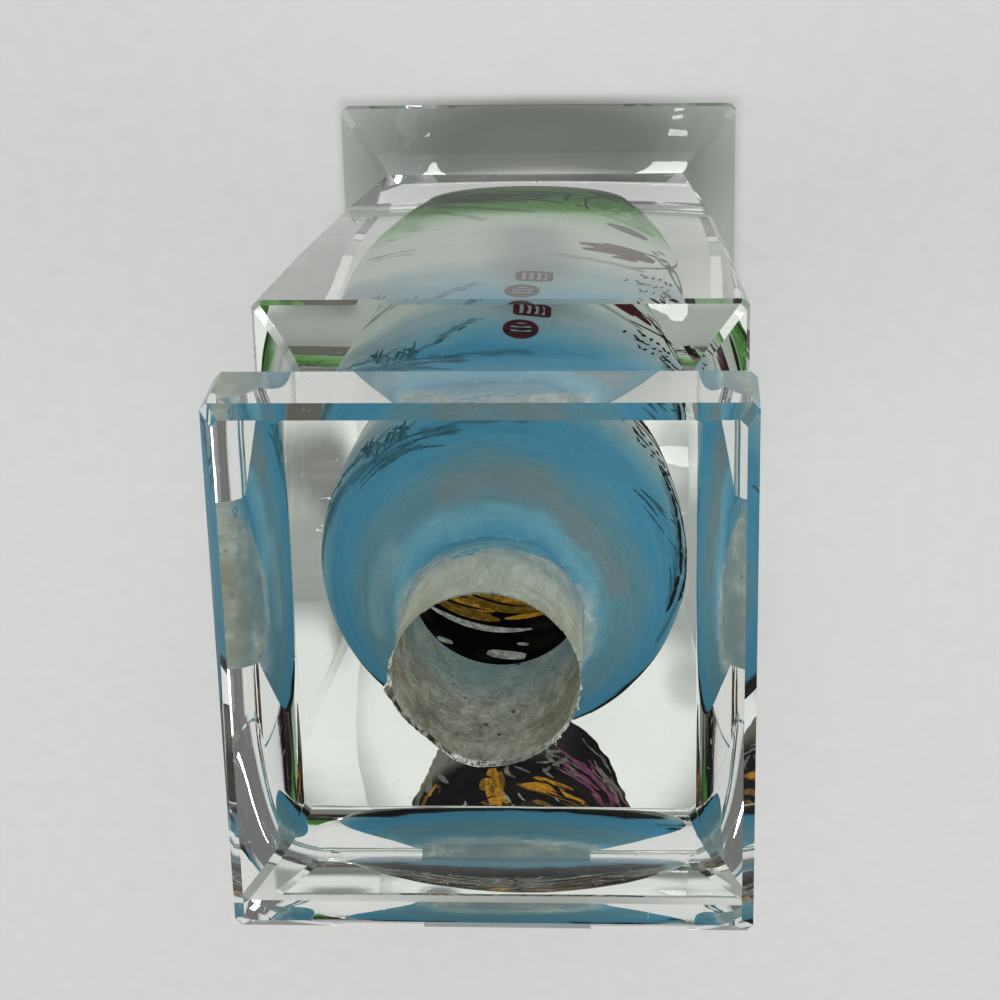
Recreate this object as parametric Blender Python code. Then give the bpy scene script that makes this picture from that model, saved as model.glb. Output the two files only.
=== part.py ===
"""Reverse-painted glass vase.

One solid block of clear glass, oblong in section and nearly square: a thick bevelled lip, a waisted
neck, a tapering body and a flared foot. A round bore runs down from the middle of the lip into a
ground-out cavity, which carries the painting and holds nothing. The cavity was ground by hand through the
bore and leans a little off the vase's axis. The vase stands on its foot, with its mouth up; the side that
faces -Y is its front.
"""
import math

import bmesh
import bpy

# Driving dimensions, in metres
HEIGHT = 0.158
LIP_WIDTH = 0.070            # across X
DEPTH_RATIO = 1.075          # every section is this much longer across Y
LIP_THICKNESS = 0.0135
LIP_BEVEL = 0.0016
FOOT_WIDTH = 0.0705
FOOT_RIM = 0.0030            # height of the foot's upright edge
FOOT_BEVEL = 0.0006
WAIST_WIDTH = 0.0536
WAIST_HEIGHT = 0.0146        # where the foot's flare meets the body
SHOULDER_WIDTH = 0.0697
SHOULDER_HEIGHT = 0.1146
NECK_WIDTH = 0.0548
NECK_HEIGHT = 0.1260
ARRIS = 0.0009               # the narrow facet along the shoulder's edge
BODY_BULGE = 0.0004          # how far the body stands out from a straight taper
FACE_CROWN = 0.0010          # how far the middle of a body face stands proud of its edges
CORNER = 0.0009              # the facet down each upright corner

BORE_RADIUS = 0.0123
BORE_LENGTH = 0.0305
CAVITY_RADIUS = 0.0259
CAVITY_WIDEST = 0.0980       # height of the cavity's widest turn above the foot
CAVITY_FLOOR = 0.0190        # thickness of solid glass under the cavity
CAVITY_FOOT_RADIUS = 0.0165
CAVITY_FILLET = 0.0055
CAVITY_CENTRE = (0.0002, 0.0007)     # x and y of the cavity's middle at its widest turn
CAVITY_LEAN = (0.0171, -0.0123)      # how far the middle moves for each metre of height
CAVITY_JOIN = 0.0095                 # height over which the middle comes back to the bore's axis

FACE_STEPS = 6               # edges along each face of a section
FLARE_STEPS = 7
BODY_STEPS = 8
TURN_STEPS = 56              # facets around the bore and cavity
SHARP_ANGLE = math.radians(24)


def clear_scene():
    for obj in list(bpy.data.objects):
        bpy.data.objects.remove(obj, do_unlink=True)


def flare(z0, half0, z1, half1, power, steps):
    """Points that leave (half0, z0) upright and turn outwards to (half1, z1)."""
    points = []
    for step in range(steps + 1):
        u = step / steps
        points.append((half0 + (half1 - half0) * u**power, z0 + (z1 - z0) * u))
    return points


def outer_outline():
    """Half width across X with height, from the foot's underside up to the lip's face."""
    foot, lip = FOOT_WIDTH / 2, LIP_WIDTH / 2
    waist, neck, shoulder = WAIST_WIDTH / 2, NECK_WIDTH / 2, SHOULDER_WIDTH / 2
    outline = [(foot - FOOT_BEVEL, 0.0), (foot, FOOT_BEVEL)]
    outline += reversed(flare(WAIST_HEIGHT, waist, FOOT_RIM, foot, 1.15, FLARE_STEPS))
    for step in range(1, BODY_STEPS + 1):
        u = step / BODY_STEPS
        half = waist + (shoulder - waist) * u + 4 * BODY_BULGE * u * (1 - u)
        outline.append((half, WAIST_HEIGHT + (SHOULDER_HEIGHT - ARRIS - WAIST_HEIGHT) * u))
    outline += reversed(flare(NECK_HEIGHT, neck, SHOULDER_HEIGHT, shoulder - ARRIS / 2, 2.1, FLARE_STEPS))
    lip_back = HEIGHT - LIP_THICKNESS
    outline += flare(NECK_HEIGHT, neck, lip_back, lip, 2.1, FLARE_STEPS)[1:]
    outline += [(lip, HEIGHT - LIP_BEVEL), (lip - LIP_BEVEL, HEIGHT)]
    return outline


def section(half, z):
    """One oblong section, anticlockwise: four faces, crowned in the middle, with a facet at each corner."""
    half_y = half * DEPTH_RATIO
    points = []
    crown = crown_at(z)
    for side in range(4):
        reach, run = (half, half_y) if side % 2 == 0 else (half_y, half)
        turn = math.pi / 2 * side
        for step in range(FACE_STEPS + 1):
            u = 2 * step / FACE_STEPS - 1
            out, along = reach + crown * (1 - u * u), (run - CORNER) * u
            x = out * math.cos(turn) - along * math.sin(turn)
            y = out * math.sin(turn) + along * math.cos(turn)
            points.append((x, y, z))
    return points


def crown_at(z):
    """The body's faces are crowned; the crown fades out at the waist and at the shoulder."""
    if not WAIST_HEIGHT < z < SHOULDER_HEIGHT:
        return 0.0
    return FACE_CROWN * math.sin(math.pi * (z - WAIST_HEIGHT) / (SHOULDER_HEIGHT - WAIST_HEIGHT))


def glass_block(name):
    """The solid block, lofted through its sections from the foot to the lip."""
    mesh = bpy.data.meshes.new(name)
    bm = bmesh.new()
    rings = []
    for half, z in outer_outline():
        rings.append([bm.verts.new(point) for point in section(half, z)])
    skin(bm, rings)
    bm.to_mesh(mesh)
    bm.free()
    return add_object(name, mesh)


def skin(bm, rings):
    """Joins rings, each anticlockwise and above the last, into one closed body."""
    for lower, upper in zip(rings, rings[1:]):
        for i in range(len(lower)):
            j = (i + 1) % len(lower)
            bm.faces.new((lower[i], lower[j], upper[j], upper[i]))
    bm.faces.new(list(reversed(rings[0])))
    bm.faces.new(rings[-1])


def cavity_outline():
    """Radius with height of the cavity and bore, from the cavity's floor up to above the lip."""
    bore_end = HEIGHT - BORE_LENGTH
    fillet_top = CAVITY_FLOOR + CAVITY_FILLET
    outline = []
    for step in range(4):
        angle = math.pi / 2 * step / 4
        radius = CAVITY_FOOT_RADIUS - CAVITY_FILLET * (1 - math.sin(angle))
        outline.append((radius, fillet_top - CAVITY_FILLET * math.cos(angle)))
    for step in range(8):
        u = 1 - step / 8
        radius = CAVITY_RADIUS - (CAVITY_RADIUS - CAVITY_FOOT_RADIUS) * u**1.95
        outline.append((radius, CAVITY_WIDEST + (fillet_top - CAVITY_WIDEST) * u))
    for step in range(10):
        u = step / 10
        radius = CAVITY_RADIUS - (CAVITY_RADIUS - BORE_RADIUS) * u**1.6
        outline.append((radius, CAVITY_WIDEST + (bore_end - CAVITY_WIDEST) * u))
    outline += [(BORE_RADIUS, bore_end), (BORE_RADIUS, HEIGHT + 0.004)]
    return outline


def cavity_middle(z):
    """The cavity's middle at a height: on a leaning line that runs back to the axis at the bore."""
    u = min(max((HEIGHT - BORE_LENGTH - z) / CAVITY_JOIN, 0.0), 1.0)
    share = u * u * (3 - 2 * u)
    return tuple(share * (middle + lean * (z - CAVITY_WIDEST)) for middle, lean in
                 zip(CAVITY_CENTRE, CAVITY_LEAN))


def cavity_cutter(name):
    """The bore and cavity as one round shape, which the glass is cut by."""
    mesh = bpy.data.meshes.new(name)
    bm = bmesh.new()
    rings = []
    for radius, z in cavity_outline():
        x, y = cavity_middle(z)
        ring = []
        for step in range(TURN_STEPS):
            angle = 2 * math.pi * step / TURN_STEPS
            ring.append(bm.verts.new((x + radius * math.cos(angle), y + radius * math.sin(angle), z)))
        rings.append(ring)
    skin(bm, rings)
    bm.to_mesh(mesh)
    bm.free()
    cutter = add_object(name, mesh)
    cutter.hide_render = True
    cutter.display_type = "WIRE"
    return cutter


def add_object(name, mesh):
    obj = bpy.data.objects.new(name, mesh)
    bpy.context.scene.collection.objects.link(obj)
    return obj


def clear_glass():
    material = bpy.data.materials.new("clear_glass")
    material.use_nodes = True
    shader = material.node_tree.nodes["Principled BSDF"]
    shader.inputs["Base Color"].default_value = (0.93, 0.97, 0.95, 1)
    shader.inputs["Roughness"].default_value = 0.0
    shader.inputs["Metallic"].default_value = 0.0
    shader.inputs["IOR"].default_value = 1.52
    shader.inputs["Transmission Weight"].default_value = 1.0
    return material


def build():
    clear_scene()
    vase = glass_block("glass_vase")
    vase.data.materials.append(clear_glass())
    cutter = cavity_cutter("cavity_cutter")
    cut = vase.modifiers.new("Cavity", "BOOLEAN")
    cut.operation = "DIFFERENCE"
    cut.solver = "EXACT"
    cut.object = cutter
    vase.data.shade_smooth()
    vase.data.set_sharp_from_angle(angle=SHARP_ANGLE)


build()
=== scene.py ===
"""Looks of the reverse-painted glass vase: its polished glass, its ground bore and its inside painting."""
import math
import random

import bmesh
import bpy
from mathutils import Matrix, Vector, noise


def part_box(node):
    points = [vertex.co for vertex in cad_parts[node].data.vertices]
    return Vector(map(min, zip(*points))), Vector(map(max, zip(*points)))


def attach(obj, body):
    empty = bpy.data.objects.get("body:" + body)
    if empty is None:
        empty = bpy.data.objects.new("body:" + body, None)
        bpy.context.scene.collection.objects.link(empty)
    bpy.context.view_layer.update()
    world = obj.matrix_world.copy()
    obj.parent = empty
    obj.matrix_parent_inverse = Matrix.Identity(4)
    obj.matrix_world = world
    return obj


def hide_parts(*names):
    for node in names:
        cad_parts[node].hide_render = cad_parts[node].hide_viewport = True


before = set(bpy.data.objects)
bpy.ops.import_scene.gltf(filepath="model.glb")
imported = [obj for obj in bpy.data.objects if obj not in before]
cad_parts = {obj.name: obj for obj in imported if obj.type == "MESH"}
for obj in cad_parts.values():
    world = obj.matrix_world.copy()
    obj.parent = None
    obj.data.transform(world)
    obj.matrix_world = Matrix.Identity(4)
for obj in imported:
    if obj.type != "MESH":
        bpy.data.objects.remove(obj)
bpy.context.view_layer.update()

(_, _, FOOT_Z), (_, _, TOP_Z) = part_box("glass_vase")
HEIGHT = TOP_Z - FOOT_Z
MM = 0.001

# The glass, from the same driving sizes as the solid, in metres
DEPTH_RATIO = 1.075
LIP_HALF, LIP_THICKNESS, LIP_BEVEL = 0.0350, 0.0135, 0.0016
FOOT_HALF, FOOT_RIM, FOOT_BEVEL = 0.03525, 0.0030, 0.0006
WAIST_HALF, WAIST_HEIGHT = 0.0268, 0.0146
SHOULDER_HALF, SHOULDER_HEIGHT, ARRIS = 0.03485, 0.1146, 0.0009
NECK_HALF, NECK_HEIGHT = 0.0274, 0.1260
BODY_BULGE, FACE_CROWN, CORNER = 0.0004, 0.0010, 0.0009
BORE_RADIUS, BORE_END = 0.0123, HEIGHT - 0.0305
CAVITY_RADIUS, CAVITY_WIDEST = 0.0259, 0.0980
CAVITY_FLOOR, CAVITY_FOOT_RADIUS, CAVITY_FILLET = 0.0190, 0.0165, 0.0055
CAVITY_CENTRE, CAVITY_LEAN, CAVITY_JOIN = (0.0002, 0.0007), (0.0171, -0.0123), 0.0095
FILLET_TOP = CAVITY_FLOOR + CAVITY_FILLET

# Fineness: steps along a face, up a flare and up the body, and round and down the bore and cavity
FACE_STEPS, FLARE_STEPS, BODY_STEPS = 20, 24, 40
TURNS, WALL_STEP = 320, 0.0016
ANGLES = [360 * k / TURNS - 180 for k in range(TURNS)]      # degrees from +Y round towards +X

CRUSHED = 0.0013             # height of the crushed edge round the mouth
FLAT_SIDE, FLAT_DEPTH = -137.0, 0.0011   # where the mouth was ground out of round, and by how much
GROUND_REACH = 0.0070        # how far the ground bore goes on down the cavity's shoulder
EDGE_HEIGHT, EDGE_CLIMB = 0.1257, 0.0095     # the painting's upper edge, and how far it climbs at the back

# How far skins and strokes stand off the wall, in metres
LINING_SKIN = 0.00005
GROUND_OUT, GROUND_IN = 0.00002, 0.00003
STROKE_SKIN, LAYER_SKIN, SKIN_SPREAD = 0.00006, 0.000012, 0.000008
HIDDEN_SKIN = 0.00002        # the unseen face of a one-sided stroke, which stays within the lining

# Paints and other colours, linear
SKY, PALE_SKY, RING_BLUE = (0.063, 0.250, 0.385), (0.31, 0.43, 0.465), (0.135, 0.33, 0.42)
SMOKE, GRAY_BLUE, TAUPE = (0.100, 0.240, 0.300), (0.21, 0.28, 0.28), (0.165, 0.215, 0.220)
MIST, PALE_GREEN, PAINTED_SHADE = (0.56, 0.62, 0.56), (0.36, 0.52, 0.33), (0.15, 0.19, 0.19)
GRASS, FRESH_GRASS, DARK_GRASS = (0.070, 0.23, 0.045), (0.16, 0.42, 0.10), (0.012, 0.030, 0.012)
INK, TEAL_INK = (0.004, 0.004, 0.005), (0.026, 0.100, 0.135)
AMBER, OCHRE, PLUM = (0.62, 0.29, 0.018), (0.25, 0.13, 0.018), (0.24, 0.070, 0.145)
BONE, HAIR_GRAY = (0.55, 0.54, 0.50), (0.40, 0.41, 0.37)
SEAL_RED, BLOSSOM = (0.042, 0.004, 0.008), (0.050, 0.006, 0.010)
# The ground glass twice: a lighter painted-lit copy for the film behind the glass, a darker painted-shade
# copy inside the bore
GROUND_GLASS_LIT, DIM_GROUND_GLASS_LIT = (0.55, 0.60, 0.53), (0.39, 0.43, 0.375)
BORE_GRAY_SHADED, DIM_BORE_GRAY_SHADED, OLD_PAINT = (0.50, 0.515, 0.43), (0.235, 0.250, 0.205), (0.21, 0.205, 0.175)


class Value:
    """An output of a finish's node tree, so that shader maths reads as an expression."""

    def __init__(self, finish, socket):
        self.finish, self.socket = finish, socket

    def __add__(self, other):
        return self.finish.math("ADD", self, other)

    def __sub__(self, other):
        return self.finish.math("SUBTRACT", self, other)

    def __rsub__(self, other):
        return self.finish.math("SUBTRACT", other, self)

    def __mul__(self, other):
        return self.finish.math("MULTIPLY", self, other)

    def __truediv__(self, other):
        return self.finish.math("DIVIDE", self, other)

    def __pow__(self, other):
        return self.finish.math("POWER", self, other)

    def __abs__(self):
        return self.finish.math("ABSOLUTE", self)

    __radd__, __rmul__ = __add__, __mul__

    def clamped(self):
        return self.finish.node("ShaderNodeClamp", {}, {0: self})

    def band(self, low, high):
        """0 below low, 1 above high, eased between; high may be the lower of the two."""
        return self.finish.node("ShaderNodeMapRange", {"interpolation_type": "SMOOTHSTEP"},
                                {0: self, 1: low, 2: high, 3: 0.0, 4: 1.0})


class Finish:
    """One material and its node tree."""

    def __init__(self, name):
        self.material = bpy.data.materials.new(name)
        self.material.use_nodes = True
        self.tree = self.material.node_tree
        self.shader = self.tree.nodes["Principled BSDF"]

    def node(self, kind, settings, sockets, out=0):
        """Makes a node, with its settings first and then its sockets' values or links."""
        node = self.tree.nodes.new(kind)
        for name, value in settings.items():
            if name == "stops":
                ramp = node.color_ramp
                while len(ramp.elements) < len(value):
                    ramp.elements.new(0.5)
                for element, (place, colour) in zip(ramp.elements, value):
                    element.position, element.color = place, (*colour, 1)
            else:
                setattr(node, name, value)
        for key, value in sockets.items():
            self.feed(node.inputs[key], value)
        return Value(self, node.outputs[out])

    def feed(self, socket, value):
        if isinstance(value, Value):
            self.tree.links.new(value.socket, socket)
        elif isinstance(value, tuple) and len(value) == 3 and socket.type == "RGBA":
            socket.default_value = (*value, 1)
        else:
            socket.default_value = value

    def math(self, operation, *values):
        return self.node("ShaderNodeMath", {"operation": operation}, dict(enumerate(values)))

    def mix(self, factor, first, second, blend="MIX"):
        """A colour between first and second."""
        return self.node("ShaderNodeMix", {"data_type": "RGBA", "blend_type": blend},
                         {0: factor, 6: first, 7: second}, out=2)

    def place(self, stretch=(1, 1, 1)):
        """The object's own coordinates in metres, each multiplied by its part of stretch."""
        here = self.node("ShaderNodeTexCoord", {}, {}, out=3)
        return self.node("ShaderNodeVectorMath", {"operation": "MULTIPLY"}, {0: here, 1: stretch})

    def axes(self):
        """The object's own x, y and z in metres."""
        here = self.place()
        return [self.node("ShaderNodeSeparateXYZ", {}, {0: here}, out=i) for i in range(3)]

    def noise(self, place, scale, detail, rough=0.5):
        return self.node("ShaderNodeTexNoise", {},
                         {"Vector": place, "Scale": scale, "Detail": detail, "Roughness": rough})

    def bump(self, height, strength, distance):
        return self.node("ShaderNodeBump", {},
                         {"Height": height, "Strength": strength, "Distance": distance})

    def set(self, **sockets):
        """Feeds the shader's sockets, named with _ for each space."""
        for name, value in sockets.items():
            self.feed(self.shader.inputs[name.replace("_", " ")], value)


# ---- Finishes

def polished_glass():
    """Clear glass, polished by hand, that lets light through to what stands inside and under it."""
    glass = Finish("polished_glass")
    waves = glass.noise(glass.place(), 70.0, 2.0)
    scratches = glass.noise(glass.place((1, 1, 0.05)), 1500.0, 2.0).band(0.73, 0.78)
    glass.set(Base_Color=(0.968, 0.980, 0.958), Roughness=scratches * 0.3, IOR=1.52, Transmission_Weight=1.0,
              Normal=glass.bump(waves, 0.10, 0.0004))
    look = Value(glass, glass.shader.outputs[0])
    for ray, tint in (("Is Shadow Ray", (0.82, 0.85, 0.83)), ("Is Diffuse Ray", (0.92, 0.94, 0.92))):
        clear = glass.node("ShaderNodeBsdfTransparent", {}, {0: tint})
        light = glass.node("ShaderNodeLightPath", {}, {}, out=ray)
        look = glass.node("ShaderNodeMixShader", {}, {0: light, 1: look, 2: clear})
    glass.feed(glass.tree.nodes["Material Output"].inputs[0], look)
    return glass.material


def crushed_edge():
    """The mouth's chipped edge: ground glass, crushed white in places, with painted glints and old dirt in
    it.
    """
    edge = Finish("crushed_edge")
    x, y, _ = edge.axes()
    grains = edge.noise(edge.place(), 1600.0, 4.0, 0.7)
    lumps = edge.noise(edge.place(), 420.0, 4.0)
    tone = edge.mix(grains.band(0.38, 0.64), (0.10, 0.10, 0.08), BORE_GRAY_SHADED)
    # Crushed white along the front of the mouth; the beads on its right and the line on its left are painted
    # glints
    white = (y * -1).band(0.0088, 0.0112) * x.band(0.003, -0.002)
    white = white + x.band(0.007, 0.010) * lumps.band(0.47, 0.53)
    white = white + (x * -1).band(0.0105, 0.0117) * y.band(-0.0024, -0.0008) * lumps.band(0.42, 0.50)
    tone = edge.mix(white.clamped() * grains.band(0.42, 0.52), tone, (0.92, 0.95, 0.91))
    dirt = lumps.band(0.44, 0.56) * (x * -1 + y * -0.2).band(0.003, 0.009) * y.band(0.0005, -0.0030)
    edge.set(Base_Color=edge.mix(dirt, tone, (0.035, 0.028, 0.018)), Roughness=0.32,
             Normal=edge.bump(grains, 0.8, 0.0003))
    return edge.material


def ground_finish(name, tones, grit, stretch, blue):
    """Ground glass: soft clouds, grain, faint rings, brown dirt and flecks of painted sparkle, with blue
    paint rubbed in low down.

    tones is (dark, light). A stretch below 1 draws the grain out down the bore. blue is the height where the
    blue starts, the height where it is full, and its colour.
    """
    ground = Finish(name)
    dark, light = tones
    blue_from, blue_to, blue_tone = blue
    x, _, z = ground.axes()
    clouds = ground.noise(ground.place(), 140.0, 5.0, 0.65)
    lumps = ground.noise(ground.place((1, 1, stretch)), 330.0, 6.0, 0.62)
    pores = ground.noise(ground.place((1, 1, stretch)), 1500.0, 3.0, 0.65)
    rings = ground.noise(ground.place((0.2, 0.2, 3)), 260.0, 4.0, 0.6)
    tone = ground.mix(lumps.band(0.32, 0.68), dark, light)
    tone = ground.mix(rings.band(0.56, 0.70) * grit * 0.35, tone, light)
    tone = ground.mix(pores.band(0.52, 0.74) * grit * 0.55, tone, tuple(1.45 * c for c in light))
    tone = ground.mix(pores.band(0.46, 0.32) * grit * 0.6, tone, tuple(0.5 * c for c in dark))
    arc = z.band(0.1462, 0.1490) * z.band(0.1528, 0.1500) * x.band(0.001, 0.008)
    brown = clouds.band(0.44, 0.60) * (abs(x) + z * 0.2).band(0.031, 0.040) + arc * rings.band(0.40, 0.60)
    tone = ground.mix(brown.clamped() * 0.6, tone, tuple(d * k for d, k in zip(dark, (0.80, 0.68, 0.46))))
    rubbed = z.band(blue_from, blue_to) * clouds.band(0.30, 0.52)
    tone = ground.mix(rubbed * 0.75, tone, blue_tone)
    specks = ground.noise(ground.place(), 560.0, 2.0).band(0.715, 0.740)
    tone = ground.mix(specks * grit * 0.8, tone, (0.020, 0.018, 0.012))
    # Pale flecks of painted sparkle
    sparkle_flecks = ground.noise(ground.place((1, 1, 2.0)), 900.0, 1.0).band(0.76, 0.80)
    tone = ground.mix(sparkle_flecks * grit * 0.7, tone, (0.78, 0.82, 0.76))
    ground.set(Base_Color=tone, Roughness=0.72, Specular_IOR_Level=0.2,
               Normal=ground.bump(lumps + pores, 0.5 * grit, 0.0002))
    return ground.material


# The back's washes from the cavity's floor up: height in metres, colour
BACK_WASHES = (
    (0.020, DARK_GRASS), (0.025, GRASS), (0.036, GRASS), (0.044, FRESH_GRASS), (0.052, PALE_GREEN),
    (0.062, MIST), (0.083, MIST), (0.091, PALE_SKY), (0.0955, PALE_SKY), (0.1015, RING_BLUE), (0.1050, SKY),
    (0.1110, SKY), (0.1145, SMOKE), (0.1200, SMOKE), (0.1240, RING_BLUE), (0.1275, SKY), (0.1305, RING_BLUE),
    (0.1350, PALE_SKY))

# Soft smears over the washes: colour, strength and strokes. A stroke is its start, its end and its width in
# millimetres, and a place is (degrees from +Y round towards +X, millimetres up).
SMEARS = (
    # painted shade: a soft dark patch down the middle of the back
    (PAINTED_SHADE, 0.60, (((4, 66), (10, 88), 11.0),)),
    (GRAY_BLUE, 0.50, (((6, 86), (10, 96), 8.0), ((-66, 90), (-40, 100), 7.5))),
    (GRASS, 0.70, (((-62, 40), (-44, 58), 3.0), ((44, 38), (60, 56), 3.0), ((60, 34), (84, 60), 4.0))),
    (DARK_GRASS, 0.95, (((-60, 29), (-46, 33), 3.6), ((-48, 33), (-28, 31), 4.4), ((-30, 31), (4, 32), 4.4),
                        ((38, 27), (66, 35), 2.5))),
    (DARK_GRASS, 0.60, (((-46, 37), (-26, 43), 2.2), ((-28, 42), (2, 49), 1.5), ((-42, 43), (-14, 55), 1.3),
                        ((34, 48), (62, 57), 1.4))),
    (TEAL_INK, 0.72, (((-94, 98.5), (-64, 102.5), 3.4), ((-24, 106.5), (-14, 109), 1.4))),
    (TEAL_INK, 0.66, (((-70, 101.5), (-50, 104), 2.0), ((-52, 104), (-30, 108), 1.8),
                      ((-54, 100), (-32, 105), 1.4), ((-32, 105), (-8, 97.5), 1.1),
                      ((-24, 107.5), (8, 107.5), 1.0), ((62, 99), (96, 108), 2.2),
                      ((96, 102), (112, 108), 1.6))),
    (PALE_SKY, 0.25, (((-104, 120.5), (-58, 122), 3.6),)),
    (TAUPE, 0.70, (((-22, 119.5), (18, 118.5), 4.2), ((12, 119), (45, 122), 3.4),
                   ((42, 122), (80, 121), 3.6), ((14, 80), (48, 84), 1.6), ((-60, 74), (-36, 76), 0.8))))


def smear(turn, z, start, end, width):
    """1 along a soft stroke from start to end, in the terms of SMEARS."""
    (a0, z0), (a1, z1) = start, end
    run, rise = math.radians(a1 - a0) * CAVITY_RADIUS, (z1 - z0) * MM
    across, up = (turn - math.radians(a0)) * CAVITY_RADIUS, z - z0 * MM
    share = ((across * run + up * rise) * (1 / (run * run + rise * rise))).clamped()
    off = ((across - share * run) ** 2 + (up - share * rise) ** 2) ** 0.5
    return off.band(width * MM, width * MM * 0.1)


def wash_finish(name, front_gray):
    """The painting's washes: grass, mist and sky round the back and sides, dark over the front.

    front_gray is how strongly a gray band lies over the dark front: strong through the glass, none from
    inside.
    """
    wash = Finish(name)
    x, y, z = wash.axes()
    turn = wash.math("ARCTAN2", x, y)
    drift = wash.noise(wash.place(), 55.0, 4.0, 0.6)
    streaks = wash.noise(wash.place((1, 1, 5)), 160.0, 5.0, 0.65)
    grain = wash.noise(wash.place(), 2200.0, 2.0, 0.6)
    edge = wash.noise(wash.place(), 240.0, 4.0, 0.6) - 0.5
    back = back_of_painting(wash, turn, z, drift, streaks)
    worn = z - wash.math("EXPONENT", turn * turn * -1.214) * 0.0095 + edge * 0.006 + (drift - 0.5) * 0.004
    back = wash.mix(worn.band(0.1238, 0.1272) * 0.85, back, (0.38, 0.43, 0.41))
    around = (abs(turn) + edge * 0.5).band(1.93, 2.03)
    top_edge = z - abs(turn).band(1.85, 2.40) * 0.0085 + edge * 0.006
    dark_front = wash.mix(drift.band(0.50, 0.62), INK, (0.020, 0.016, 0.012))
    gray_band = (z + (drift - 0.5) * 0.024).band(0.069, 0.079)
    gray_band = gray_band * (z + (streaks - 0.5) * 0.010).band(0.1000, 0.0940) * front_gray
    dark_front = wash.mix(gray_band, dark_front, (0.29, 0.30, 0.265))
    fringe = (z + (drift - 0.5) * 0.016).band(0.049, 0.038) * x.band(0.010, -0.010)
    dark_front = wash.mix(fringe * 0.8, dark_front, (0.34, 0.335, 0.27))
    tone = wash.mix(around * top_edge.band(0.1010, 0.0985), back, dark_front)
    tone = wash.mix(0.30, tone, wash.mix(grain, (0.25, 0.25, 0.25), (0.75, 0.75, 0.75)), "OVERLAY")
    tone = wash.mix(0.40, tone, wash.mix(streaks, (0.22, 0.22, 0.22), (0.78, 0.78, 0.78)), "OVERLAY")
    wash.set(Base_Color=tone, Roughness=0.6, Specular_IOR_Level=0.0)
    return wash.material


def back_of_painting(wash, turn, z, drift, streaks):
    """The washes of the back and sides, one above the other, with the smears over them."""
    climb = z.band(0.078, 0.045) * abs(turn).band(0.45, 1.05)
    level = z + (drift - 0.5) * 0.011 + (streaks - 0.5) * 0.004 - abs(turn) * 0.0012 - climb * 0.013
    low, high = BACK_WASHES[0][0], BACK_WASHES[-1][0]
    stops = [((height - low) / (high - low), colour) for height, colour in BACK_WASHES]
    back = wash.node("ShaderNodeValToRGB", {"stops": stops}, {0: (level - low) / (high - low)})
    loose_turn, loose_z = turn + (drift - 0.5) * 0.25, z + (streaks - 0.5) * 0.004
    for colour, strength, strokes in SMEARS:
        mask = 0.0
        for start, end, width in strokes:
            mask = smear(loose_turn, loose_z, start, end, width) + mask
        back = wash.mix(mask.clamped() * strength, back, colour)
    return wash.mix(z.band(0.0255, 0.0235), back, OLD_PAINT)


def paint(name, colour, uneven):
    """One brush colour, thin in places."""
    coat = Finish(name)
    thin = coat.noise(coat.place(), 900.0, 4.0, 0.65)
    dark = tuple(c * (1 - uneven) for c in colour)
    light = tuple(min(1.0, c * (1 + uneven) + 0.01) for c in colour)
    coat.set(Base_Color=coat.mix(thin.band(0.35, 0.65), dark, light), Roughness=0.5, Specular_IOR_Level=0.0)
    return coat.material


# ---- Shapes that the glass, the ground film and the painting share

def flare(z0, half0, z1, half1, power, steps):
    """Points that leave (half0, z0) upright and turn outwards to (half1, z1)."""
    points = []
    for step in range(steps + 1):
        u = step / steps
        points.append((half0 + (half1 - half0) * u**power, z0 + (z1 - z0) * u))
    return points


def outer_outline():
    """Half width across X with height, from the foot's underside up to the lip's face."""
    outline = [(FOOT_HALF - FOOT_BEVEL, 0.0), (FOOT_HALF, FOOT_BEVEL)]
    outline += reversed(flare(WAIST_HEIGHT, WAIST_HALF, FOOT_RIM, FOOT_HALF, 1.15, FLARE_STEPS))
    for step in range(1, BODY_STEPS + 1):
        u = step / BODY_STEPS
        half = WAIST_HALF + (SHOULDER_HALF - WAIST_HALF) * u + 4 * BODY_BULGE * u * (1 - u)
        outline.append((half, WAIST_HEIGHT + (SHOULDER_HEIGHT - ARRIS - WAIST_HEIGHT) * u))
    outline += reversed(flare(NECK_HEIGHT, NECK_HALF, SHOULDER_HEIGHT, SHOULDER_HALF - ARRIS / 2, 2.1,
                              FLARE_STEPS))
    outline += flare(NECK_HEIGHT, NECK_HALF, HEIGHT - LIP_THICKNESS, LIP_HALF, 2.1, FLARE_STEPS)[1:]
    outline += [(LIP_HALF, HEIGHT - LIP_BEVEL), (LIP_HALF - LIP_BEVEL, HEIGHT)]
    return outline


def section(half, z):
    """One oblong section, anticlockwise: four faces, crowned in the middle, with a facet at each corner."""
    half_y = half * DEPTH_RATIO
    crown = crown_at(z)
    points = []
    for side in range(4):
        reach, run = (half, half_y) if side % 2 == 0 else (half_y, half)
        turn = math.pi / 2 * side
        for step in range(FACE_STEPS + 1):
            u = 2 * step / FACE_STEPS - 1
            out, along = reach + crown * (1 - u * u), (run - CORNER) * u
            points.append((out * math.cos(turn) - along * math.sin(turn),
                           out * math.sin(turn) + along * math.cos(turn), z))
    return points


def crown_at(z):
    """How far the middle of a body face stands proud at a height."""
    low, high = WAIST_HEIGHT, SHOULDER_HEIGHT
    return FACE_CROWN * math.sin(math.pi * (z - low) / (high - low)) if low < z < high else 0.0


def ease(value, low, high):
    """0 at low, 1 at high, eased between."""
    u = min(max((value - low) / (high - low), 0.0), 1.0)
    return u * u * (3 - 2 * u)


def cavity_middle(z):
    """The cavity's middle at a height: on a leaning line that comes back to the bore's axis."""
    share = ease(z, BORE_END, BORE_END - CAVITY_JOIN)
    return tuple(share * (middle + lean * (z - CAVITY_WIDEST)) for middle, lean in
                 zip(CAVITY_CENTRE, CAVITY_LEAN))


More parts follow.
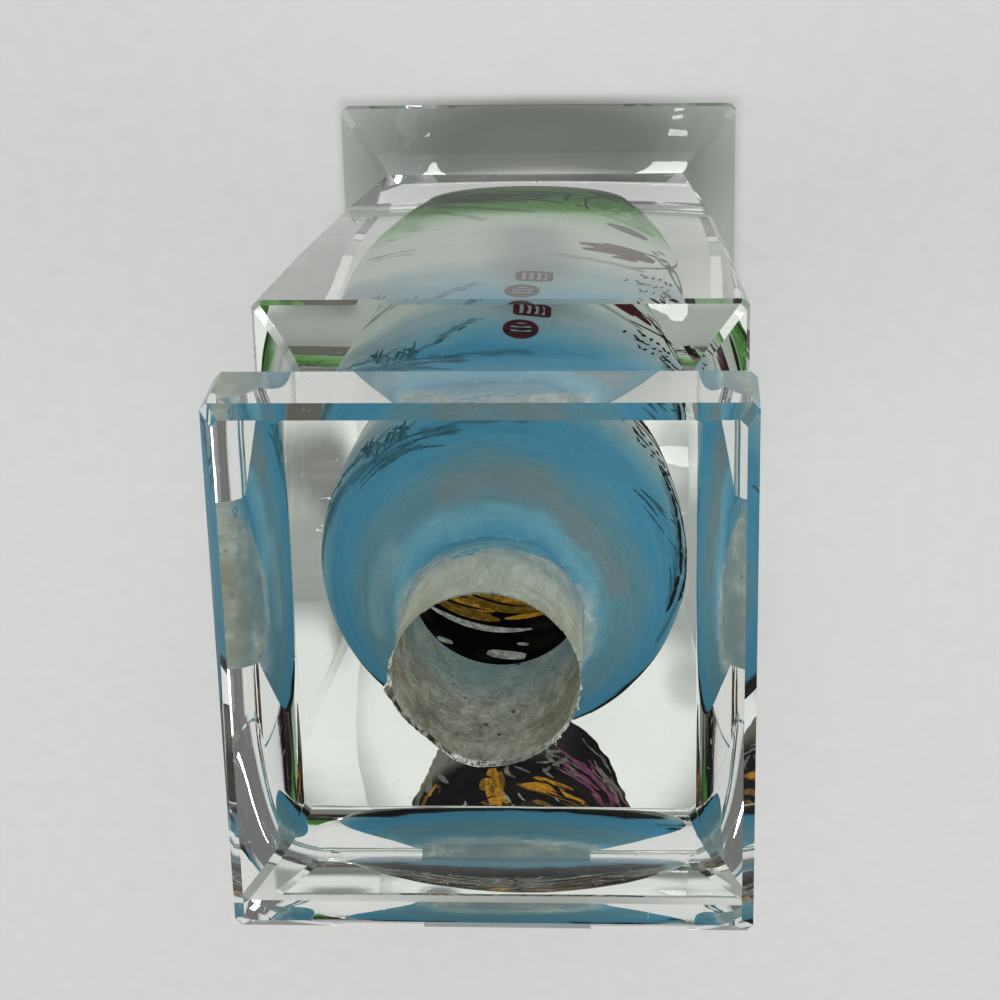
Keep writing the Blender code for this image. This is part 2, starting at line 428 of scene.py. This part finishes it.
def wall_radius(z):
    """Radius of the bore and cavity at a height."""
    if z >= BORE_END:
        return BORE_RADIUS
    if z >= CAVITY_WIDEST:
        u = (z - CAVITY_WIDEST) / (BORE_END - CAVITY_WIDEST)
        return CAVITY_RADIUS - (CAVITY_RADIUS - BORE_RADIUS) * u**1.6
    if z >= FILLET_TOP:
        u = (CAVITY_WIDEST - z) / (CAVITY_WIDEST - FILLET_TOP)
        return CAVITY_RADIUS - (CAVITY_RADIUS - CAVITY_FOOT_RADIUS) * u**1.95
    drop = min((FILLET_TOP - z) / CAVITY_FILLET, 1.0)
    return CAVITY_FOOT_RADIUS - CAVITY_FILLET * (1 - math.sqrt(1 - drop * drop))


def wall_point(angle, z, out):
    """A point at an angle in degrees, from +Y round towards +X, off the wall by out, into the glass."""
    step = 0.0002
    slope = (wall_radius(z + step) - wall_radius(z - step)) / (2 * step)
    level = 1 / math.hypot(1, slope)
    flat = FLAT_DEPTH * math.exp(-((angle - FLAT_SIDE) / 21) ** 2) * ease(z, HEIGHT - 0.012, HEIGHT - 0.002)
    radius = wall_radius(z) - flat + out * level
    x, y = cavity_middle(z)
    turn = math.radians(angle)
    return x + radius * math.sin(turn), y + radius * math.cos(turn), z - out * slope * level


def wall_heights(top, bottom):
    """Heights down the wall from top to bottom, with one at the bore's end, and closer down the fillet."""
    heights = [top]
    for low in (BORE_END, FILLET_TOP):
        low = max(bottom, low)
        start = heights[-1]
        count = math.ceil((start - low) / WALL_STEP - 0.001)
        heights += [start + (low - start) * (i + 1) / count for i in range(count)]
    if bottom < FILLET_TOP:
        heights += [FILLET_TOP - CAVITY_FILLET * math.sin(math.pi / 2 * i / 8) for i in range(1, 9)]
    return heights


def bridge(bm, upper, lower, index=0):
    """Faces between two rings of points, which all take the material with this index."""
    for i in range(len(upper)):
        j = (i + 1) % len(upper)
        face = bm.faces.new((upper[i], upper[j], lower[j], lower[i]))
        face.material_index = index


def add_piece(name, bm, materials, sharp=30):
    """Makes the piece, smooth but for edges that turn by more than sharp degrees; it rides the root."""
    bmesh.ops.recalc_face_normals(bm, faces=bm.faces)
    mesh = bpy.data.meshes.new(name)
    bm.to_mesh(mesh)
    bm.free()
    for material in materials:
        mesh.materials.append(material)
    mesh.shade_smooth()
    mesh.set_sharp_from_angle(angle=math.radians(sharp))
    piece = bpy.data.objects.new(name, mesh)
    bpy.context.scene.collection.objects.link(piece)
    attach(piece, "root")
    return piece


# ---- The glass

def chip(angle):
    """How far the mouth's edge is broken back across the lip's face, in metres."""
    turn = math.radians(angle)
    around = Vector((math.sin(turn), math.cos(turn), 0))
    fine = abs(noise.noise(around * 31 + Vector((0, 0, 3.7))))
    rough = max(noise.noise(around * 6 + Vector((0, 0, 9.1))), 0)
    beads = max(noise.noise(around * 48 + Vector((0, 0, 5.3))), 0) ** 2
    beads = beads * math.exp(-((angle - 112) / 42) ** 4)
    crushed = 0.00014 * math.exp(-((angle + 166) / 13) ** 4)
    notch = 0.0009 * math.exp(-((angle + 96) / 5) ** 2) + 0.0003 * math.exp(-((angle + 80) / 9) ** 2)
    return 0.00003 + 0.00017 * fine + 0.00014 * rough + 0.0021 * beads + crushed + notch


def glass_body():
    """The block with its bore and cavity, closed between the lip's outer edge and the chipped mouth."""
    bm = bmesh.new()
    rings = [[bm.verts.new(p) for p in section(half, z)] for half, z in outer_outline()]
    for lower, upper in zip(rings, rings[1:]):
        bridge(bm, upper, lower)
    bm.faces.new(rings[0])
    lip = [bm.verts.new(wall_point(a, HEIGHT, 0)) for a in ANGLES]
    for vert, angle in zip(lip, ANGLES):
        turn = math.radians(angle)
        vert.co += Vector((math.sin(turn), math.cos(turn), 0)) * chip(angle)
    halfway = []
    for angle in ANGLES:
        hollow = abs(noise.noise(Vector((angle * 0.8, 20.3, 0))))
        height = HEIGHT - CRUSHED * (0.25 + 0.5 * hollow)
        halfway.append(bm.verts.new(wall_point(angle, height, chip(angle + 0.7) * 0.55)))
    bore = [lip, halfway]
    for z in wall_heights(HEIGHT - CRUSHED, CAVITY_FLOOR):
        bore.append([bm.verts.new(wall_point(a, z, 0)) for a in ANGLES])
    for step, (upper, lower) in enumerate(zip(bore, bore[1:])):
        bridge(bm, upper, lower, 1 if step < 2 else 0)
    bm.faces.new(bore[-1])
    rim_edges = []
    for ring in (rings[-1], lip):
        for i in range(len(ring)):
            rim_edges.append(bm.edges.get((ring[i], ring[(i + 1) % len(ring)])))
    bmesh.ops.triangle_fill(bm, edges=rim_edges, use_beauty=True)
    return add_piece("glass_vase_body", bm, [polished_glass(), crushed_edge()], sharp=20)


def film(name, tops, bottom, materials, out, inside):
    """A thin closed skin on the wall: out stands in the glass, inside in the hollow.

    tops is its upper edge's height at each angle, and materials has one for each of its two faces.
    """
    bm = bmesh.new()
    level = max(bottom, min(tops) - 0.004)       # its rings are level from here down
    shells = []
    for offset in (out, -inside):
        shell = []
        for i in range(5):
            shell.append([bm.verts.new(wall_point(a, top + (level - top) * i / 4, offset))
                          for a, top in zip(ANGLES, tops)])
        for z in wall_heights(level, bottom)[1:]:
            shell.append([bm.verts.new(wall_point(a, z, offset)) for a in ANGLES])
        shells.append(shell)
    for index, shell in enumerate(shells):
        for upper, lower in zip(shell, shell[1:]):
            bridge(bm, upper, lower, index)
    bridge(bm, shells[0][0], shells[1][0])
    if bottom > CAVITY_FLOOR:
        bridge(bm, shells[0][-1], shells[1][-1])
    else:
        for shell in shells:
            bm.faces.new(shell[-1])
    return add_piece(name, bm, materials)


def painted_edge(angle):
    """Height of the painting's ragged upper edge, which climbs furthest at the back."""
    lobe = EDGE_CLIMB * math.exp(-(angle / 52) ** 2)
    turn = math.radians(angle)
    around = Vector((math.sin(turn), math.cos(turn), 0))
    ragged = noise.noise(around * 5.0) * 0.0011 + noise.noise(around * 19.0) * 0.0008
    return EDGE_HEIGHT + lobe + ragged + noise.noise(around * 70.0) * 0.0004


# ---- The painting's strokes: paths are (degrees from +Y round towards +X, millimetres up)

def sweep(angle, height, heading, length, bend=0.0, steps=9):
    """A path that sets off at a heading (0 towards +X, 90 up) and turns by bend degrees on its way."""
    path = []
    for step in range(steps + 1):
        path.append((angle, height))
        turn = math.radians(heading + bend * step / steps)
        reach = length / steps
        angle += math.degrees(math.cos(turn) * reach / (wall_radius(height * MM) / MM))
        height += math.sin(turn) * reach
    return path


class Brush:
    """Strokes of one colour on the cavity's wall, each a thin closed ribbon, joined as one piece.

    A higher layer lies over a lower one. seen is "both", or "inside" or "outside" for strokes that other
    paint hides from the other side.
    """

    def __init__(self, name, colour, layer, seed, uneven=0.35, seen="both"):
        self.name, self.colour, self.uneven, self.seen = name, colour, uneven, seen
        self.lift = STROKE_SKIN + LAYER_SKIN * layer
        self.random = random.Random(seed)
        self.bm = bmesh.new()

    def stroke(self, path, width, taper=0.6):
        """Lays a ribbon along the path; a small taper keeps it full to near its ends."""
        lift = self.lift + self.random.uniform(0, SKIN_SPREAD)
        outer = -HIDDEN_SKIN if self.seen == "inside" else lift
        inner = HIDDEN_SKIN if self.seen == "outside" else -lift
        rings = []
        for i, (angle, height) in enumerate(path):
            (a0, z0), (a1, z1) = path[max(i - 1, 0)], path[min(i + 1, len(path) - 1)]
            radius = wall_radius(height * MM) / MM
            run, rise = math.radians(a1 - a0) * radius, z1 - z0
            length = math.hypot(run, rise)
            share = math.sin(math.pi * (0.03 + 0.94 * i / (len(path) - 1)))
            half = width / 2 * share**taper
            aside, up = math.degrees(-rise / length * half / radius), run / length * half
            ring = []
            for side, out in ((1, outer), (-1, outer), (-1, inner), (1, inner)):
                corner = wall_point(angle + side * aside, (height + side * up) * MM, out)
                ring.append(self.bm.verts.new(corner))
            rings.append(ring)
        for first, second in zip(rings, rings[1:]):
            bridge(self.bm, first, second)
        self.bm.faces.new(rings[0])
        self.bm.faces.new(rings[-1])

    def scatter(self, count, angles, heights, headings, lengths, widths, bend=20, taper=0.6):
        """Strokes at seeded places, each range given as (least, most)."""
        pick = self.random.uniform
        for _ in range(count):
            path = sweep(pick(*angles), pick(*heights), pick(*headings), pick(*lengths), pick(-bend, bend))
            self.stroke(path, pick(*widths), taper)

    def finish(self):
        piece = add_piece(self.name, self.bm, [paint(self.name + "_paint", self.colour, self.uneven)])
        piece.visible_shadow = False


def grass():
    """Blades round the cavity's foot: lighter ones lean either way, dark ones mostly towards the middle."""
    fresh = Brush("fresh_grass", FRESH_GRASS, 0, 11)
    fresh.scatter(16, (4, 112), (34, 42), (50, 130), (6, 12), (0.9, 2.2), 35)
    fresh.scatter(6, (-112, -66), (34, 42), (50, 130), (6, 12), (0.9, 2.2), 35)
    fresh.finish()
    green = Brush("green_grass", GRASS, 1, 12)
    green.scatter(22, (8, 114), (27, 35), (35, 145), (7, 13), (0.9, 2.4), 40)
    green.scatter(9, (-114, -68), (27, 35), (35, 145), (7, 13), (0.9, 2.4), 40)
    green.finish()
    dark = Brush("dark_grass", DARK_GRASS, 2, 13)
    dark.scatter(13, (-60, -14), (27, 34), (2, 30), (9, 17), (0.8, 2.2), 18)
    dark.scatter(9, (24, 110), (26, 32), (100, 150), (8, 15), (0.5, 1.3), 35)
    dark.scatter(6, (-112, -66), (26, 32), (40, 100), (8, 15), (0.5, 1.3), 35)
    dark.finish()


def sprig(brush, angle, height, heading, length, bend, needles, needle):
    """A stem with needles on both sides."""
    stem = sweep(angle, height, heading, length, bend, 14)
    brush.stroke(stem, 0.42, 0.5)
    for i in range(needles):
        at = stem[1 + int(i / needles * 13)]
        side = 1 if i % 2 else -1
        lean = brush.random.uniform(22, 55) * side
        reach = needle * brush.random.uniform(0.6, 1.2)
        brush.stroke(sweep(*at, heading + bend * i / needles + lean, reach, -12 * side, 6), 0.26, 0.8)


def sprigs():
    """Two sprigs in the sky with loose needles round them, and a few bare twigs over the grass."""
    ink = Brush("teal_sprigs", TEAL_INK, 3, 21)
    sprig(ink, -80, 96, 24, 20, -16, 9, 3.4)
    sprig(ink, 104, 99, 160, 16, 14, 7, 3.2)
    ink.stroke([(-60, 98), (-46, 102), (-33, 104.6), (-22, 102.6), (-14, 99.8), (-7, 97)], 0.6, 0.5)
    ink.scatter(16, (-50, -30), (103, 106.5), (-125, -50), (2.5, 6), (0.3, 0.8), 30)
    ink.scatter(10, (-56, -22), (105, 109), (-5, 25), (5, 10), (0.25, 0.55), 25)
    ink.scatter(7, (62, 104), (101, 108), (140, 178), (5, 9), (0.25, 0.7), 20)
    ink.finish()
    twigs = Brush("dark_twigs", DARK_GRASS, 3, 22)
    twigs.stroke(sweep(-66, 72.5, 10, 8, -14), 0.6, 0.5)
    twigs.stroke(sweep(-50, 73.2, -2, 6, 12), 0.4)
    twigs.stroke(sweep(-62, 61, 30, 5, -15), 0.5)
    twigs.finish()


def blossom_branch():
    """A dark red blossom and black leaves on bent twigs, below the seals and to their right."""
    red = Brush("red_blossom", BLOSSOM, 4, 32, uneven=0.5)
    petals = (((23.5, 71.8), 8, 13, 3.2), ((24.5, 75.2), 2, 13, 3.0), ((29, 73.4), 14, 11, 5.2),
              ((38, 75.0), 8, 8.5, 4.6), ((33, 70.6), 20, 5, 2.0), ((36, 78.4), 2, 5, 1.8))
    for at, heading, length, width in petals:
        red.stroke(sweep(*at, heading, length, 8, 10), width, 0.4)
    red.finish()
    black = Brush("black_leaves", INK, 5, 31)
    black.stroke(sweep(34, 70.3, 16, 11, 2), 0.7, 0.5)
    black.stroke([(50, 73.0), (58, 72.6), (66, 73.8), (72, 76)], 0.8, 0.4)
    black.stroke([(58, 73.4), (63, 76.5), (68, 79.5)], 0.7, 0.4)
    black.stroke(sweep(88, 66, 118, 26, 42, 14), 0.8, 0.3)
    leaves = (((37.5, 54.8), 40, 11.0, 3.9), ((66.5, 75.5), 62, 14.0, 4.8), ((84, 90), 110, 7, 2.8))
    for at, heading, length, width in leaves:
        black.stroke(sweep(*at, heading, length, 10, 12), width, 0.55)
    black.scatter(5, (54, 64), (67, 74), (10, 60), (2, 4), (0.4, 0.9), 20)
    black.finish()


def seals():
    """Two seals, one square and one round, each filled with plain bars."""
    red = Brush("red_seals", SEAL_RED, 6, 41, uneven=0.5)
    left, right, low, high = 3.2, 13.4, 91.2, 95.7
    for (a0, z0), (a1, z1) in (((left, low), (right, low)), ((left, high), (right, high)),
                               ((left, low), (left, high)), ((right, low), (right, high))):
        red.stroke([(a0 + (a1 - a0) * i / 4, z0 + (z1 - z0) * i / 4) for i in range(5)], 1.0, 0.15)
    for share in (0.28, 0.52, 0.76):
        at = left + (right - left) * share
        red.stroke([(at, low + 0.6), (at + 0.3, 93.4), (at - 0.2, high - 0.5)], 0.75, 0.2)
    middle, height = 5.0, 101.0
    half_wide, half_tall = math.degrees(2.1 / 25.8), 2.415       # 2.1 mm round a wall of 25.8 mm radius
    ring = []
    for i in range(25):
        turn = 2 * math.pi * i / 24
        ring.append((middle + half_wide * math.cos(turn), height + half_tall * math.sin(turn)))
    red.stroke(ring, 1.1, 0.05)
    for offset in (-1.2, 0.0, 1.2):
        red.stroke([(middle - 3.4, height + offset), (middle, height + offset + 0.25),
                    (middle + 3.4, height + offset - 0.1)], 0.9, 0.2)
    red.finish()


def marks():
    """Rows of plain ticks above the blossom, and two slanting rows of them in the sky at their right."""
    ink = Brush("black_ticks", INK, 6, 51, uneven=0.2)
    pick = ink.random.uniform
    for start, height, count in ((48, 86.0, 6), (42, 90.4, 7), (47, 94.0, 5)):
        for i in range(count):
            ink.stroke(sweep(start + i * 3.7 + pick(-0.6, 0.6), height + pick(-0.6, 0.6), pick(40, 140),
                             pick(1.3, 2.4), pick(-80, 80), 5), pick(0.45, 0.85), 0.4)
    for i in range(12):
        share = i / 11
        for row in (0.0, -4.6):
            ink.stroke(sweep(60 + 38 * share, 97.0 + 9 * share + row + pick(-0.5, 0.5), pick(20, 70),
                             pick(1.6, 3.2), pick(-30, 30), 5), pick(0.9, 1.7), 0.5)
    ink.finish()


def striped_front():
    """The front's lower half: ochre, amber, plum, faded and black strokes over the dark wash."""
    ochre = Brush("ochre_stripes", OCHRE, 0, 61)
    ochre.scatter(9, (158, 180), (56, 69), (130, 175), (5, 9), (1.2, 2.6), 30)
    ochre.scatter(5, (213, 221), (45, 54), (65, 110), (5, 9), (0.8, 1.6), 20)
    ochre.scatter(4, (186, 192), (50, 62), (75, 105), (6, 10), (1.0, 1.8), 20)
    ochre.finish()
    amber = Brush("amber_stripes", AMBER, 1, 62)
    flames = (((189.8, 52), 92, 20, 6, 2.4), ((186.5, 61), 96, 9, 10, 1.3),
              ((177.5, 60.5), 166, 8.5, -14, 3.6), ((173, 56.8), 150, 6.5, 20, 2.0),
              ((165, 61.5), 160, 5, 10, 2.6), ((216, 48), 80, 6, 20, 0.9))
    for at, heading, length, bend, width in flames:
        amber.stroke(sweep(*at, heading, length, bend), width, 0.35)
    amber.finish()
    plum = Brush("plum_stripes", PLUM, 2, 63)
    plum.scatter(18, (138, 166), (38, 57), (105, 150), (6, 12), (0.8, 1.8), 30)
    plum.finish()
    faded = Brush("faded_strokes", OLD_PAINT, 3, 64, uneven=0.5)
    faded.scatter(9, (132, 150), (28, 44), (90, 140), (5, 10), (0.5, 1.1), 30)
    faded.scatter(7, (-150, -134), (32, 48), (50, 110), (5, 12), (0.6, 1.4), 30)
    faded.scatter(14, (156, 184), (40, 53), (20, 160), (3, 7), (0.5, 1.2), 60)
    faded.finish()
    black = Brush("black_stripes", INK, 4, 65)
    black.scatter(6, (160, 178), (57, 66), (140, 175), (5, 9), (0.4, 0.9), 30)
    black.scatter(9, (136, 170), (40, 60), (105, 150), (5, 10), (0.5, 1.1), 30)
    black.scatter(8, (200, 222), (42, 60), (70, 120), (6, 12), (0.8, 1.8), 30)
    black.finish()


def pelt_through_glass():
    """The front's upper half as seen through the glass: ochre fur and pale hairs under fanned black bars."""
    fur = Brush("ochre_fur_seen_through_glass", OCHRE, 0, 73, seen="outside")
    for side, first in ((1, 184), (-1, 177)):
        for row in range(5):
            heading = 24 if side > 0 else 156
            path = sweep(first + side * (4 + 3 * row), 68 + 4.4 * row, heading, 17 - row, side * 30, 12)
            fur.stroke(path, 3.6, 0.45)
    fur.scatter(12, (150, 212), (70, 80), (60, 120), (4, 8), (0.9, 2.0), 30)
    fur.finish()
    hairs = Brush("pale_hairs_seen_through_glass", HAIR_GRAY, 1, 72, seen="outside")
    hairs.scatter(34, (198, 230), (72, 93), (64, 116), (4, 8), (1.2, 2.8), 25)
    hairs.scatter(9, (138, 160), (72, 92), (64, 116), (4, 8), (1.0, 2.2), 25)
    hairs.scatter(110, (134, 226), (64, 93), (68, 112), (3, 7), (0.25, 0.7), 25)
    hairs.finish()
    bars = Brush("black_bars_seen_through_glass", INK, 5, 70, seen="outside")
    pick = bars.random.uniform
    for row in range(8):
        for side, first in ((1, 185), (-1, 176)):
            tilt = pick(14, 30)
            heading = tilt if side > 0 else 180 - tilt
            path = sweep(first + side * pick(0, 7), 66 + 3.9 * row + pick(-0.6, 0.6), heading, pick(11, 17),
                         side * pick(8, 30), 14)
            bars.stroke(path, pick(1.5, 2.9) - side * 0.4, 1.0)
            path = sweep(first + side * pick(42, 48), 70 + 3.9 * row, 180 - heading - side * 24, pick(7, 12),
                         side * 24, 10)
            bars.stroke(path, pick(1.2, 2.3), 1.0)
        path = sweep(180 + pick(-3, 3), 68 + 3.6 * row, pick(72, 108), pick(2.5, 4.5), 0, 6)
        bars.stroke(path, pick(0.8, 1.6), 0.9)
    bars.finish()


def pelt_from_inside():
    """The front's upper half as seen from inside: gold and amber stripes, and bone strokes above them."""
    gold = Brush("gold_seen_from_inside", OCHRE, 0, 66, seen="inside")
    gold.scatter(20, (148, 200), (76.5, 86.5), (-14, 12), (10, 18), (1.8, 3.8), 15)
    gold.finish()
    bright = Brush("amber_seen_from_inside", AMBER, 1, 67, seen="inside")
    bright.scatter(9, (166, 204), (78, 85), (-12, 8), (5, 11), (0.9, 2.2), 18)
    bright.finish()
    pale = Brush("bone_seen_from_inside", BONE, 3, 68, uneven=0.4, seen="inside")
    pale.stroke(sweep(214, 88.6, 172, 17.5, 18, 16), 1.9, 0.7)
    pale.stroke(sweep(190, 97.2, 176, 6.0, -6, 8), 2.8, 0.25)
    pale.stroke(sweep(208, 97.6, 190, 2.6, 0, 6), 1.5, 0.4)
    pale.stroke(sweep(180, 93.4, 170, 1.8, 0, 6), 0.9, 0.5)
    pale.finish()
    dark = Brush("black_seen_from_inside", INK, 4, 69, seen="inside")
    dark.scatter(6, (156, 206), (77, 86.5), (-16, 10), (7, 15), (0.6, 1.8), 20)
    dark.stroke(sweep(188, 96.0, 20, 2.6, 30, 6), 0.5)
    dark.finish()


def blue_dabs():
    """Loose dabs where the sky runs out on the ground bore."""
    dab = Brush("blue_dabs", RING_BLUE, 0, 71, uneven=0.25)
    dab.scatter(18, (-34, 30), (131, 137), (-30, 30), (1.0, 3.2), (0.4, 1.1), 40, 0.4)
    dab.scatter(12, (-110, 110), (126, 131), (-40, 40), (1.0, 3.0), (0.4, 1.0), 40, 0.4)
    dab.finish()


# ---- Building

glass = glass_body()
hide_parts("glass_vase")

lining = film("painted_lining", [painted_edge(a) for a in ANGLES], CAVITY_FLOOR,
              [wash_finish("wash_through_glass", front_gray=0.7), wash_finish("wash_from_inside", front_gray=0.0)],
              LINING_SKIN, LINING_SKIN)
# The film's face behind the glass takes the painted-lit copy of the ground glass, its face in the bore the
# painted-shade copy
ground = film("ground_bore", [HEIGHT - CRUSHED] * TURNS, BORE_END - GROUND_REACH,
              [ground_finish("ground_bore_lit_behind_glass", (DIM_GROUND_GLASS_LIT, GROUND_GLASS_LIT), grit=0.5,
                             stretch=0.25, blue=(0.1430, 0.1330, (0.17, 0.285, 0.33))),
               ground_finish("ground_bore", (DIM_BORE_GRAY_SHADED, BORE_GRAY_SHADED), grit=1.0,
                             stretch=0.8, blue=(0.1440, 0.1300, (0.22, 0.335, 0.37)))],
              GROUND_OUT, GROUND_IN)
for skin in (lining, ground):
    skin.visible_shadow = False      # thin enough for light to come through

grass()
sprigs()
blossom_branch()
seals()
marks()
striped_front()
pelt_through_glass()
pelt_from_inside()
blue_dabs()


# ---- Stage

MIDDLE = Vector((0, 0, 0.08))
FLOOR_SIZE, FLOOR_GAP = 6.0, 0.0004      # the gap keeps the floor just clear of the foot's underside
# Patches of painted shade in the floor under the glass: middle x and y, half width, half length, strength
PAINTED_DARK_PATCHES = ((-0.0172, -0.0105, 0.0050, 0.0120, 0.75), (0.0245, -0.0050, 0.0050, 0.0065, 0.32))


def pale_floor():
    """A plain floor: painted shade under the foot and in front of it, and painted light where the glass
    gathers it.
    """
    floor = Finish("pale_floor")
    x, y, _ = floor.axes()
    tooth = floor.noise(floor.place(), 260.0, 3.0)

    def off(middle_x, middle_y, wide, long):
        """0 in the middle of an ellipse with these half widths, 1 on its edge."""
        return (((x - middle_x) / wide) ** 2 + ((y - middle_y) / long) ** 2) ** 0.5

    # Painted shade: a darker footprint, darkest towards its back, dark patches, and a soft shadow in front
    # of the foot
    under = abs(x).band(0.0372, 0.0345) * abs(y).band(0.0402, 0.0376)
    heel_shade = ((x * x * 0.22 + (y - 0.027) ** 2) ** 0.5).band(0.0200, 0.0075)
    shadow_ahead = off(0.0, -0.062, 0.048, 0.038).band(1.0, 0.30)
    shade_patches = 0.0
    for middle_x, middle_y, wide, long, strength in PAINTED_DARK_PATCHES:
        shade_patches = off(middle_x, middle_y, wide, long).band(1.0, 0.3) * strength + shade_patches
    painted_glow = ((x * x + (y * 1.5) * (y * 1.5)) ** 0.5).band(0.035, 0.023) * (1.0 - shade_patches)
    shade = (under * (heel_shade * 0.5 + 0.21) + shade_patches * 0.8 + shadow_ahead * 0.42).clamped()
    plain = floor.mix(tooth, (0.64, 0.64, 0.628), (0.70, 0.70, 0.688))
    # The emission is painted light, standing in for light that the glass gathers onto the floor
    floor.set(Base_Color=floor.mix(shade, plain, (0.05, 0.05, 0.045)), Roughness=0.9, Specular_IOR_Level=0.1,
              Emission_Color=floor.mix(painted_glow, (0.0, 0.0, 0.0), (1.0, 1.0, 0.98)), Emission_Strength=0.45)
    return floor.material


bpy.ops.mesh.primitive_plane_add(size=FLOOR_SIZE, location=(0, 0, FOOT_Z - FLOOR_GAP))
floor = bpy.context.object
floor.name = "floor"
floor.data.materials.append(pale_floor())


def add_camera(place, aim, roll, lens):
    """A camera that looks from place to aim with +Y at its top, then rolls by so many degrees."""
    data = bpy.data.cameras.new("camera")
    data.lens = lens
    camera = bpy.data.objects.new("camera", data)
    bpy.context.scene.collection.objects.link(camera)
    view = (Vector(aim) - Vector(place)).normalized()
    across = view.cross(Vector((0, 1, 0))).normalized()
    across.rotate(Matrix.Rotation(math.radians(roll), 3, view))
    turned = Matrix((across, across.cross(view), -view)).transposed()
    camera.matrix_world = Matrix.Translation(place) @ turned.to_4x4()
    bpy.context.scene.camera = camera


add_camera(place=(0.02403, 0.14806, TOP_Z + 0.30235), aim=(-0.00154, 0.00172, 0.100), roll=1.458, lens=94.0)


def softbox(name, place, size, power):
    """A square lamp, size in metres and power in watts, that faces the vase's middle."""
    light = bpy.data.lights.new(name, "AREA")
    light.size = size
    light.energy = power
    lamp = bpy.data.objects.new(name, light)
    lamp.location = place
    lamp.rotation_euler = (MIDDLE - Vector(place)).to_track_quat("-Z", "Y").to_euler()
    bpy.context.scene.collection.objects.link(lamp)


softbox("key", (0.1, 0.60, 1.25), size=0.6, power=11)
softbox("left_fill", (-0.9, -0.3, 0.8), size=0.8, power=4.5)
softbox("right_fill", (0.9, -0.3, 0.8), size=0.8, power=5.2)
softbox("front_fill", (-0.18, -1.08, 0.58), size=0.5, power=0.5)

world = bpy.data.worlds.new("studio")
world.use_nodes = True
sky = world.node_tree.nodes["Background"]
sky.inputs["Color"].default_value = (0.76, 0.77, 0.77, 1)
sky.inputs["Strength"].default_value = 0.21
bpy.context.scene.world = world
bpy.context.scene.view_settings.view_transform = "Standard"

# Enough bounces for light to pass through the block's walls and the skins inside
cycles = bpy.context.scene.cycles
cycles.transmission_bounces = 16
cycles.max_bounces = 20
cycles.transparent_max_bounces = 16
cycles.glossy_bounces = 8
cycles.caustics_refractive = False
cycles.caustics_reflective = False
